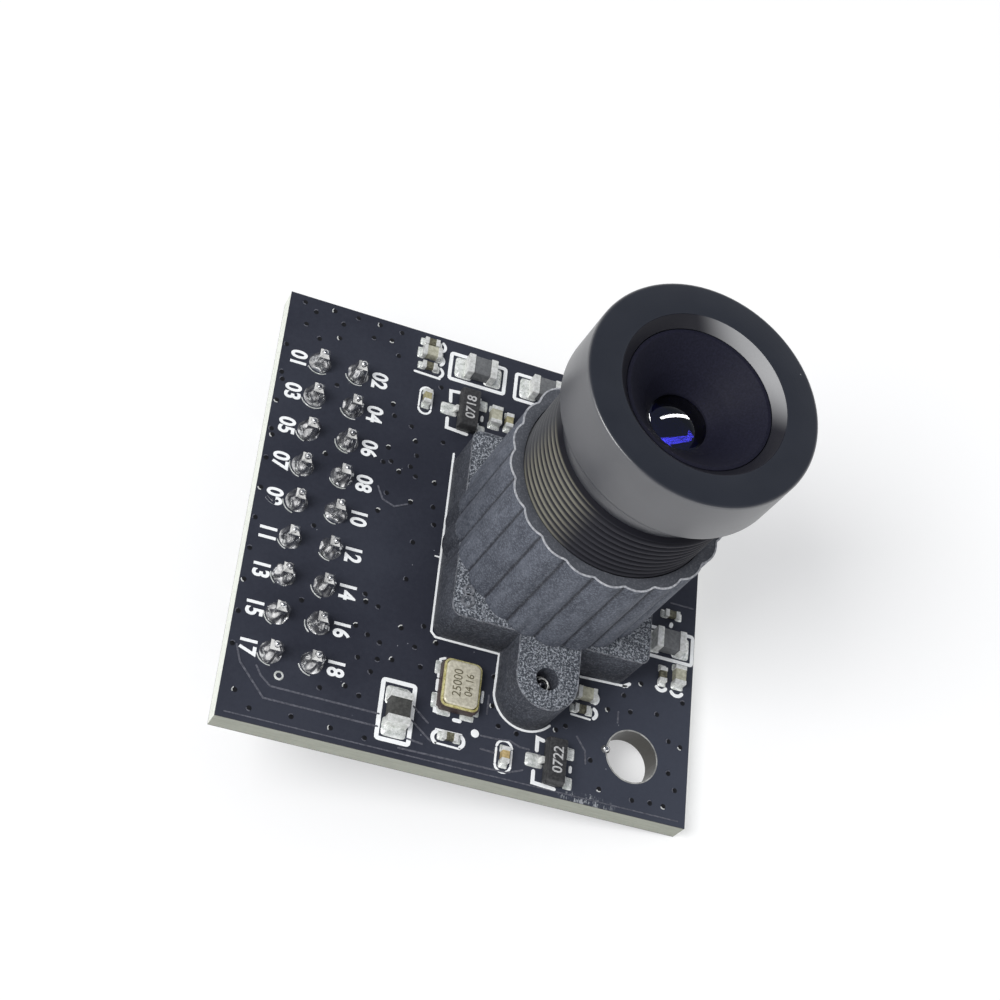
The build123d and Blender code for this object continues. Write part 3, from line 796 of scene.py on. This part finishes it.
# Each line is its width and then its points.
ink_lines = [
    (0.15, *holder_line),
    (0.16, (7.2, -6.6), (10.35, -6.46)),
    (0.24, (10.15, -6.47), (10.5, -6.25)),
    (0.1, (-3.05, -1.1), (-2.8, -1.1)),
    (0.24, (-3.36, 10.2), (-3.42, 10.98), (-2.86, 11.03)),
    (0.24, (-3.43, 8.87), (-3.4, 8.19), (-2.03, 8.09)),
    (0.22, (-1.12, 9.44), (-1.12, 9.68)),
    (0.26, (4.8, -12.11), (4.78, -11.32), (5.15, -11.4)),
    (0.26, (4.7, -13.5), (4.71, -14.2), (6.1, -14.3)),
    (0.22, (7.04, -12.96), (7.04, -12.7)),
    (0.17, (-1.62, -7.72), (-1.89, -7.85), (-1.9, -9.0)),
    (0.22, (-1.9, -9.25), (-1.89, -9.85)),
    (0.2, (-1.92, -10.15), (-1.89, -11.25), (-1.0, -11.27)),
    (0.26, (-0.6, -11.51), (-0.26, -11.51)),
    (0.18, (1.0, -9.29), (0.99, -9.93)),
    (0.17, (-6.0, 11.66), (-4.3, 11.6)),
    (0.12, (-5.44, 9.2), (-5.44, 10.2)),
    (0.12, (-4.6, 9.2), (-4.6, 10.2)),
    (0.14, (2.22, -12.6), (2.22, -13.5)),
    (0.14, (3.22, -12.6), (3.22, -13.5)),
    (0.13, (-1.65, -12.36), (-0.05, -12.34)),
    (0.13, (-1.6, -13.22), (-0.05, -13.25)),
    (0.13, (6.8, -9.22), (8.05, -9.28)),
    (0.26, (13.08, -1.5), (13.12, -1.35)),
]
ink_shapes = [
    outline(-3.67, 11.9, 0.13, 13.85, 0.26),
    outline(0.91, 11.82, 4.7, 13.78, 0.24),
    outline(-5.22, -13.78, -3.23, -10.03, 0.28),
    outline(10.95, -3.87, 14.66, -1.87, 0.24),
    moved(mound(0.54, 0.54, ink_height, blunt=1.0, rings=2), 0.79, -12.03),
    bow(-4.52, 14.02, 0),
    bow(-4.52, 12.96, 0),
    bow(-4.48, 12.05, 0),
    bow(-5.02, 10.25, 90, 0.42, 0.15, 80),
    bow(-5.02, 9.12, 270, 0.42, 0.15, 80),
    bow(2.72, -12.52, 90, 0.5, 0.16, 80),
    bow(2.72, -13.55, 270, 0.5, 0.16, 80),
    bow(-1.42, -12.84, 180, 0.4, 0.24),
    bow(-0.25, -12.81, 0, 0.4, 0.24),
    bow(8.12, -7.82, 0, 0.36, 0.24),
    bow(8.10, -8.84, 0, 0.36, 0.24),
    bow(12.67, -5.75, 270, 0.36, 0.24),
    bow(13.74, -5.8, 270, 0.42, 0.24),
]
ink_shapes += [stroke(path, width, ink_height) for width, *path in ink_lines]
make_piece("silk_outlines", moved(joined(ink_shapes), z=TOP - 0.001), INK)


# %% [markdown]
# ## Plain pin numbers
# The labels beside the pins are printed digits, which read along the board's edge. Blender's text
# object gives the outlines: it is made a mesh while still at the origin, fitted to the height of
# the letters, and only then placed.

# %% Text as a mesh
def lettering(words, height, depth, weight=0.0, narrow=1.0):
    """Letters centred on the origin, so high, so thick, emboldened by weight."""
    curve = bpy.data.curves.new("letters", "FONT")
    curve.body, curve.size = words, 1.0
    curve.extrude, curve.offset = 0.5, weight
    holder = linked("letters", curve)
    bpy.context.view_layer.update()
    depsgraph = bpy.context.evaluated_depsgraph_get()
    mesh = bpy.data.meshes.new_from_object(holder.evaluated_get(depsgraph))
    mesh.calc_loop_triangles()
    points = pulled(mesh.vertices, "co")
    faces = pulled(mesh.loop_triangles, "vertices", np.int32)
    bpy.data.objects.remove(holder)
    bpy.data.curves.remove(curve)
    bpy.data.meshes.remove(mesh)
    low, high = points.min(0), points.max(0)
    points = (points - (low + high) / 2) * (height / (high[1] - low[1]))
    points *= (narrow, 1, depth / np.ptp(points[:, 2]))
    points[:, 2] += depth / 2
    return points, [faces]


label_drop = 0.05
outer_x, inner_x = pin_columns[0] - 1.40, pin_columns[1] + 1.46
labels = []
for row, y in enumerate(row_y):
    for x, number in ((outer_x, 2 * row + 1), (inner_x, 2 * row + 2)):
        glyphs = lettering(f"{number:02d}", 1.08, ink_height, weight=0.03, narrow=0.84)
        labels.append(moved(glyphs, x, y - label_drop, turn=-90))
make_piece("pin_numbers", moved(joined(labels), z=TOP - 0.001), INK)


# %% [markdown]
# ## Solder joints of the header
# Solder wicks up each pin in a hollow cone, wide and thin at the foot and steep near the top, and
# leaves a bead on the pin's point. No two joints are alike, so each gets its own seeded lean, lumps
# and height. A thin arc in the tinned pad's finish on one side of the foot is a painted glint on the
# pad's rim.

# %% Joints and pads
rng = np.random.default_rng(18)


def pin_joint(seed_angle, lean, lump, tip):
    """r falls from the foot to the neck with a power of what is left to climb, and swells a little
    half way; lumps follow sin 2a, 3a and 5a, and a bead of solder sits on the pin's point."""
    climb = np.linspace(0, 1, 18)
    foot, neck, top = 0.72, 0.33, 1.02
    radius = neck + (foot - neck) * (1 - climb) ** 2.2 + 0.10 * np.sin(climb * math.pi) ** 2
    swing = np.linspace(-0.6, 1, 7) * math.pi / 2
    bead = np.stack([0.23 * np.cos(swing), tip - 0.22 + 0.22 * np.sin(swing)], 1)
    profile = np.vstack([[(0.0, 0.0)], np.stack([radius, climb * top], 1), bead])

    def lumpy(a, r, z):
        share = np.clip(z / top, 0, 1)
        wave = np.sin(2 * a + seed_angle + 2.2 * share) * 0.7 + np.sin(3 * a - seed_angle) * 0.5
        wave = wave + 0.4 * np.sin(5 * a + 3 * seed_angle - 4 * share)
        return r * (1 + lump * wave * (0.2 + 0.8 * np.sin(share * math.pi) ** 0.7))

    points, faces = turned(profile, 40, loop=False, wobble=lumpy)
    points[:, :2] += points[:, 2:] / tip * lean * (math.cos(seed_angle), math.sin(seed_angle))
    return points, faces


joints, pad_glints = [], []
for x, y in pin_places[:, :2]:
    seed_angle = rng.uniform(0, TURN)
    lean, lump, tip = rng.uniform(0.0, 0.05), rng.uniform(0.16, 0.34), rng.uniform(1.40, 1.56)
    joints.append(moved(pin_joint(seed_angle, lean, lump, tip), x, y, TOP))
    # A short arc on one side of the pad's rim in the tinned finish: a painted glint.
    start = rng.uniform(170, 215)
    pad_glint_arc = arc(x, y, rng.uniform(0.82, 0.87), start, start + rng.uniform(50, 110), 12)
    pad_glints.append(stroke(pad_glint_arc, 0.06, 0.04, z=TOP - 0.001))
make_piece("lumpy_solder_joints", joints, SOLDER, "module", ["solder_joints"], 55)
make_piece("pin_pad_rims", pad_glints, PAD)


# %% [markdown]
# ## The small parts and their solder
# A chip is a ceramic block with metal ends, softened at its edges, on two domed solder fillets that
# reach out past the ends. Its own pads follow its box in the frame, so a chip can't miss them.

# %% Chips, beads and regulators
def long_axis(node):
    """0 or 1 for the longer side of a node's box in the board's plane, and the box."""
    low, high = box_mm(node)
    return int(np.argmax((high - low)[:2])), low, high


def end_fillets(node, reach, side, height):
    """A solder mound at both ends of a part, half under its end and half beyond."""
    axis, low, high = long_axis(node)
    middle = (low + high) / 2
    shapes = []
    for sign in (-1, 1):
        centre = middle.copy()
        centre[axis] += sign * (high[axis] - low[axis]) / 2
        width = (high - low)[1 - axis] + 2 * side
        heap = mound(2 * reach, width, height, blunt=0.35)
        shapes.append(moved(heap, centre[0], centre[1], TOP - 0.001, 90 * axis))
    return shapes


ceramics = (OLIVE, TAN, OLIVE, TAN, AMBER, OLIVE, OLIVE)
chip_matter = {f"capacitor_{k}": ceramic for k, ceramic in enumerate(ceramics, 1)}
fillets = []
for node in sorted(nodes):
    if node.startswith(("capacitor", "resistor")):
        axis = long_axis(node)[0]
        softened(node, 0.035, [chip_matter.get(node, FILM), CAP], ends=(axis, 0.27))
        fillets += end_fillets(node, 0.25, 0.04, 0.16)
    elif node.startswith("ferrite_bead") and node.endswith("body"):
        softened(node, 0.06, [DARK_FERRITE if "_3_" in node else FERRITE])
    elif node.startswith("ferrite_bead") and node.endswith("terminals"):
        softened(node, 0.07, [CAP])
        fillets += end_fillets(node, 0.62, 0.08, 0.22)
    elif node.startswith("regulator") and node.endswith("body"):
        softened(node, 0.05, [EPOXY])
marks = []
for name, words in (("regulator_1", "0718"), ("regulator_2", "0722")):
    low, high = box_mm(f"{name}_legs")
    y = (low[1] + high[1]) / 2
    pads = [(low[0] + 0.05, y), (high[0] - 0.1, high[1] - 0.21), (high[0] - 0.1, low[1] + 0.21)]
    sizes = [(1.15, 0.9), (0.62, 0.8), (0.62, 0.8)]
    for (pad_x, pad_y), (length, width) in zip(pads, sizes):
        fillets.append(moved(mound(length, width, 0.14, blunt=0.3), pad_x, pad_y, TOP - 0.001))
    paint(nodes[f"{name}_legs"], CAP)
    low, high = box_mm(f"{name}_body")
    glyphs = lettering(words, 0.66, 0.012, weight=0.012, narrow=0.95)
    marks.append(moved(glyphs, (low[0] + high[0]) / 2, (low[1] + high[1]) / 2, high[2], 90))
make_piece("part_solder_fillets", fillets, PAD, crease=60)
make_piece("regulator_marks", marks, MARK)


# %% [markdown]
# ## The oscillator
# A gilt lid with a softly pressed rim is welded on a dark ceramic base. Its number is engraved by
# laser, which leaves thin dark strokes. The pads show as bright patches round its sides.

# %% Oscillator
softened("oscillator_base", 0.03, [UMBER])
softened("oscillator_lid", 0.09, [GILT], steps=3)
lid_low, lid_high = box_mm("oscillator_lid")
base_low, base_high = box_mm("oscillator_base")
lid_x, lid_y = (lid_low + lid_high)[:2] / 2
LASER = matt_finish("laser_engraving", (0.10, 0.09, 0.05), (0.17, 0.15, 0.09), 0.5, 0.01)
number_z = lid_high[2] - 0.002
upper = moved(lettering("25000", 0.56, 0.01, narrow=0.9), lid_x - 0.35, lid_y, number_z, 90)
lower = moved(lettering("04 16", 0.50, 0.01, narrow=0.9), lid_x + 0.4, lid_y, number_z, 90)
make_piece("oscillator_number", [upper, lower], LASER)
pad_rows = [
    (0.5, 1.0, base_low[0] - 0.08, base_low[1] + 0.55),
    (0.9, 0.42, base_low[0] + 0.5, base_low[1] - 0.1),
    (0.9, 0.42, base_high[0] - 0.5, base_low[1] - 0.1),
    (0.5, 0.9, base_low[0] - 0.08, base_high[1] - 0.5),
    (0.4, 0.9, base_high[0] + 0.04, base_low[1] + 0.55),
]
pads = [
    moved(mound(length, width, 0.07, 0.3), x, y, TOP - 0.001) for length, width, x, y in pad_rows
]
make_piece("oscillator_pads", pads, PAD, crease=60)
BRASS = metal_finish("gilt_seam", (0.50, 0.44, 0.16), (0.90, 0.84, 0.45), 0.2, 0.01, metallic=0.4)
seam_path = rectangle(*(lid_low[:2] - 0.07), *(lid_high[:2] + 0.07), 0.42)
seam = stroke(seam_path, 0.15, 0.07, closed=True, z=lid_low[2] - 0.02)
make_piece("oscillator_seam", seam, BRASS)


# %% [markdown]
# ## The lens holder
# The CAD moulding has the true form, so a merged copy of it keeps that form and only gets rounded
# edges. A bevel is too fine to show a bright line along the sharp edges, so thin light bars run along
# them as painted highlights: a wavy one on the tube's rim, whose radius follows the lobes, and dimmer
# straight ones on the base and the ears. A cavity number stands on the base in raised rings, as mould
# makers leave it, painted lighter than the plastic as a painted highlight, and the screws' tips in
# the ears get a turn and a half of thread in a bright finish, whose arcs are painted glints.

# %% Holder
softened("lens_holder", 0.06, [HOLDER], angle=32)
# Light grey bars along the edges: painted highlights, dimmer on the base and the ears.
EDGE = matt_finish("rim_edge_highlight", (0.30, 0.31, 0.34), (0.62, 0.63, 0.66), 0.4, 0.01, 5.0)
DIM_HIGHLIGHT = matt_finish("dim_edge_highlight", (0.06, 0.065, 0.075), (0.30, 0.31, 0.34), 0.45, 0.01, 2.5)
flute_count, flute_start = 22, 14.5
around = np.linspace(0, TURN, 12 * flute_count, endpoint=False)
lobe = np.abs(np.sin((np.degrees(around) - flute_start) * flute_count / 360 * math.pi))
scallop = flute_valley - 0.04 + (flute_crest - flute_valley) * lobe**0.75
rim_path = np.stack([LENS_X + scallop * np.cos(around), scallop * np.sin(around)], 1)
rim_edge = stroke(rim_path, 0.11, 0.04, closed=True, z=holder_top - 0.02)
make_piece("holder_rim_edge", rim_edge, EDGE)

half, ear_reach = base_half - 0.03, 1.96
base_path = rectangle(LENS_X - half, -half, LENS_X + half, half, 0.7)
bend = arc(0, ear_y, ear_reach, 180, 360, 24)
ear_path = np.vstack([[(-ear_reach, -base_half)], bend, [(ear_reach, -base_half)]])
ear_edge = stroke(ear_path, 0.06, 0.03, z=ear_top - 0.01)
edges = [stroke(base_path, 0.06, 0.03, closed=True, z=base_top - 0.01)]
edges += [moved(ear_edge, LENS_X, turn=angle) for angle in (0, 180)]
make_piece("holder_base_edges", edges, DIM_HIGHLIGHT)

# The raised digit in the dim highlight finish: a painted highlight.
number_rings = [arc(0, 0.36, 0.28, 0, 345, 20), arc(0, -0.32, 0.36, 0, 345, 22)]
digit = joined([stroke(ring, 0.16, 0.1, closed=True) for ring in number_rings])
digit = moved(digit, LENS_X - 5.55, -5.04, base_top - 0.01)
make_piece("cavity_number", digit, DIM_HIGHLIGHT)

# %% Thread at the screws' tips
screw_top = box_mm("holder_screws")[1][2]
share = np.linspace(0, 1, 40)[:, None]
wire = np.array([(0.0, -0.05), (0.05, 0.0), (0.0, 0.05), (-0.05, 0.0)])
coil = (0.60 - 0.26 * share + wire[:, 0]) * np.exp(1j * share * 1.4 * TURN)
coil_height = screw_top - 0.55 + 0.4 * share + wire[:, 1]
helix = np.stack([coil.real, coil.imag, coil_height], -1).reshape(-1, 3)
helix = helix, [grid_faces(len(share), len(wire))]
tips = [moved(helix, LENS_X, y) for y in (ear_y, -ear_y)]
# The coil wears the bright chip-end finish, not the screws' dark steel: its arcs are painted glints.
make_piece("screw_tip_threads", tips, CAP)


# %% [markdown]
# ## The lens barrel
# One turned piece: a fine thread of half a millimetre pitch, a plain neck and a wide head. The
# thread is a helix, so its radius depends on both height and angle; the same grid carries the
# plain parts, where the thread's depth is nought. The thread and the mouth's chamfer are duller
# than the hard skin of the head, so their faces get finishes of their own.

# %% Barrel with its thread
pitch, thread_depth = 0.5, 0.26
rear = barrel_low[2]
thread_rows = np.linspace(rear + 0.25, neck_back - 0.15, 150)
outside = rounded(
    [
        (2.0, rear, 0),
        (5.75, rear, 0),
        *[(thread_radius, z, 0) for z in thread_rows],
        (5.62, neck_back, 0),
        (5.6, head_back, 0.12),
        (head_radius, head_back, 0.16),
        (head_radius, front, 0.17),
        (4.9, front, 0.05),
        (4.35, front - 0.65, 0.03),
        (4.35, front - 3.4, 0),
        (3.6, front - 3.4, 0),
        (3.6, rear + 0.8, 0),
        (2.0, rear + 0.8, 0),
    ]
)


def thread(a, r, z):
    """Radius less depth times a rounded ridge, whose phase climbs one pitch a turn."""
    on_thread = (np.abs(r - thread_radius) < 1e-6) & (z < neck_back - 0.1)
    phase = TURN * z / pitch - a
    ridge = 0.5 - 0.5 * np.cos(phase)
    return np.where(on_thread, r - thread_depth * ridge**1.4, r)


barrel = moved(turned(outside, 144, wobble=thread), LENS_X)
barrel_piece = make_piece(
    "turned_lens_barrel", barrel, BARREL, "barrel", ["lens_barrel"], 30
)
for finish in (THREAD, MOUTH):
    barrel_piece.data.materials.append(finish)
middles = pulled(barrel_piece.data.polygons, "center") / MM
from_axis = np.hypot(middles[:, 0] - LENS_X, middles[:, 1])
thread_faces = (middles[:, 2] < neck_back - 0.05) & (from_axis > 5.5)
mouth_faces = (middles[:, 2] > front - 0.66) & (from_axis < 4.92)
choice = (thread_faces + 2 * mouth_faces).astype(np.int32)
barrel_piece.data.polygons.foreach_set("material_index", choice)
print("thread faces:", int(thread_faces.sum()), "mouth faces:", int(mouth_faces.sum()))


# %% [markdown]
# ## Retaining ring and front glass
# The ring's funnel drops in two slopes to the front lens. The glass is a smooth dome, and the
# deeper lenses stay as they are behind it, so that light can wander between them.

# %% Ring and glass
ring_low, ring_high = box_mm("front_retaining_ring")
seat, ring_front = ring_low[2], ring_high[2]
rim_radius = (ring_high[0] - ring_low[0]) / 2
funnel = rounded(
    [
        (1.75, seat, 0),
        (rim_radius, seat, 0),
        (rim_radius, ring_front, 0.04),
        (rim_radius - 0.22, ring_front, 0.06),
        (2.6, seat + 1.2, 0.15),
        (1.78, seat + 0.12, 0.04),
    ]
)
ring = moved(turned(funnel, 120), LENS_X)
make_piece("funnel_ring", ring, RING, "barrel", ["front_retaining_ring"], 30)
glass_low, glass_high = box_mm("front_lens")
glass_radius = (glass_high[0] - glass_low[0]) / 2
dome_radius, dome_rise = 1.70, glass_high[2] - seat
curvature = (dome_radius**2 + dome_rise**2) / (2 * dome_rise)
slope = np.linspace(0, 1, 20) * math.asin(dome_radius / curvature)
dome = np.stack([curvature * np.sin(slope), glass_high[2] - curvature * (1 - np.cos(slope))], 1)
back = [(glass_radius, seat), (glass_radius, glass_low[2]), (0.0, glass_low[2])]
glass = moved(turned(np.vstack([dome, back]), 96, loop=False), LENS_X)
make_piece("front_glass", glass, FRONT_GLASS, "lens_stack", ["front_lens"], 30)


# %% [markdown]
# ## Floor, world and lamps
# The module leans on its pins and on the far edge of its board, so the floor is a plane through
# both. Its paper glows more and more for the camera further out, so that it meets the white world
# without a line, and keeps its shadow near the module. The world is white to the camera and to
# reflections near the horizon, with a dimmer ceiling.

# %% Floor
touch_x = pin_columns[0] - pin_half
lean = board_low[2] / (EDGE_X - touch_x)
floor_reach = 700.0
corners = floor_reach * np.array([(-1, -1, 0), (1, -1, 0), (1, 1, 0), (-1, 1, 0)])
corners[:, 2] = (corners[:, 0] - touch_x) * lean - 0.02
floor_mesh = bpy.data.meshes.new("floor")
floor_mesh.from_pydata((corners * MM).tolist(), [], [[0, 1, 2, 3]])
floor = linked("floor", floor_mesh)
paper = Finish("paper", base_color=(0.98, 0.98, 0.98), roughness=0.9, specular_ior_level=0.0)


def ray_kinds(finish):
    """1 for a ray of each kind: from the camera, from a shiny surface, and through glass."""
    rays = finish.tree.nodes.new("ShaderNodeLightPath").outputs
    kinds = ("Is Camera Ray", "Is Glossy Ray", "Is Transmission Ray")
    return [Value(finish, rays[kind]) for kind in kinds]


from_camera, glossy, through = ray_kinds(paper)
seen = from_camera.most(glossy).most(through)
glow = paper.node("ShaderNodeEmission", {"Color": (1.0, 1.0, 1.0), "Strength": 1.0})
surface = Value(paper, paper.surface.outputs[0])
x, y = paper.axes()[:2]
beyond = ((x * x + y * y) ** 0.5).rise(70.0, 300.0)
mixed = paper.node(
    "ShaderNodeMixShader", {0: seen * (0.42 + 0.58 * beyond), 1: surface, 2: glow}
)
paper.put(paper.tree.nodes["Material Output"].inputs["Surface"], mixed)
floor_mesh.materials.append(paper.material)

# %% World
world = bpy.data.worlds.new("studio")
bpy.context.scene.world = world
world.use_nodes = True


class Sky(Finish):
    """The world's node tree, with the same way of making nodes."""

    def __init__(self, tree):
        self.tree = tree


sky = Sky(world.node_tree)
from_camera, glossy, through = ray_kinds(sky)
direction = sky.tree.nodes.new("ShaderNodeTexCoord").outputs["Generated"]
up = sky.node("ShaderNodeSeparateXYZ", {0: Value(sky, direction)}, output=2)
shine = sky.blend(up.rise(0.2, 0.68), (1.0, 1.0, 1.0), (0.10, 0.115, 0.15))
tone = sky.blend(glossy.most(through), (0.50, 0.51, 0.53), shine)
tone = sky.blend(from_camera, tone, (1.0, 1.0, 1.0))
background = sky.tree.nodes["Background"]
sky.put(background.inputs["Color"], tone)
background.inputs["Strength"].default_value = 1.0


# %% Lamps
def lamp(name, place, target, size, power, along=None):
    """A soft lamp at a place, in millimetres, that looks at a target, its length along a line."""
    light = bpy.data.lights.new(name, "AREA")
    light.shape, light.size, light.size_y = "RECTANGLE", size[0] * MM, size[1] * MM
    light.energy = power
    stand = linked(name, light)
    place, target = np.array(place, float), np.array(target, float)
    back = unit(place - target)
    side = np.cross((0.0, 0.0, 1.0), back) if along is None else np.array(along, float)
    side = unit(side - (side @ back) * back)
    axes = np.stack([side, np.cross(back, side), back], 1)
    stand.matrix_world = Matrix.Translation((place * MM).tolist()) @ Matrix(axes.tolist()).to_4x4()
    return stand


middle = (0.0, 0.0, 15.0)
lamp("key", (-460, -160, 520), middle, (360, 360), 3.5)
lamp("fill", (160, -260, 160), middle, (160, 120), 0.07)
window = lamp("window", (85, 205, 285), middle, (400, 36), 0.5, along=(0.884, 0.202, -0.421))
glass_only = bpy.data.collections.new("glass_only")
for name in ("front_glass", "middle_lens", "rear_lens"):
    glass_only.objects.link(bpy.data.objects[name])
window.light_linking.receiver_collection = glass_only
print("floor, world and", len(bpy.data.lights), "lamps")


# %% [markdown]
# ## The camera
# The camera stands where the photograph was taken: its place and its three axes are given in the
# part's frame, found from the corners of the board and the round edges of the lens.

# %% Camera
eye = (-34.394, -59.337, 114.360)
right = (0.92398, 0.09655, 0.37006)
down = (0.26408, -0.86097, -0.43473)
ahead = (0.27664, 0.49941, -0.82101)
camera_data = bpy.data.cameras.new("camera")
camera_data.sensor_width = 36.0
camera_data.lens = 72.07
camera_data.clip_start, camera_data.clip_end = 0.005, 5.0
camera = linked("camera", camera_data)
axes = np.stack([right, -np.array(down), -np.array(ahead)], 1)
camera.matrix_world = Matrix.Translation([v * MM for v in eye]) @ Matrix(axes.tolist()).to_4x4()
bpy.context.scene.camera = camera
bpy.context.scene.view_settings.view_transform = "Standard"
print("camera with a lens of", camera_data.lens, "mm, at", eye)
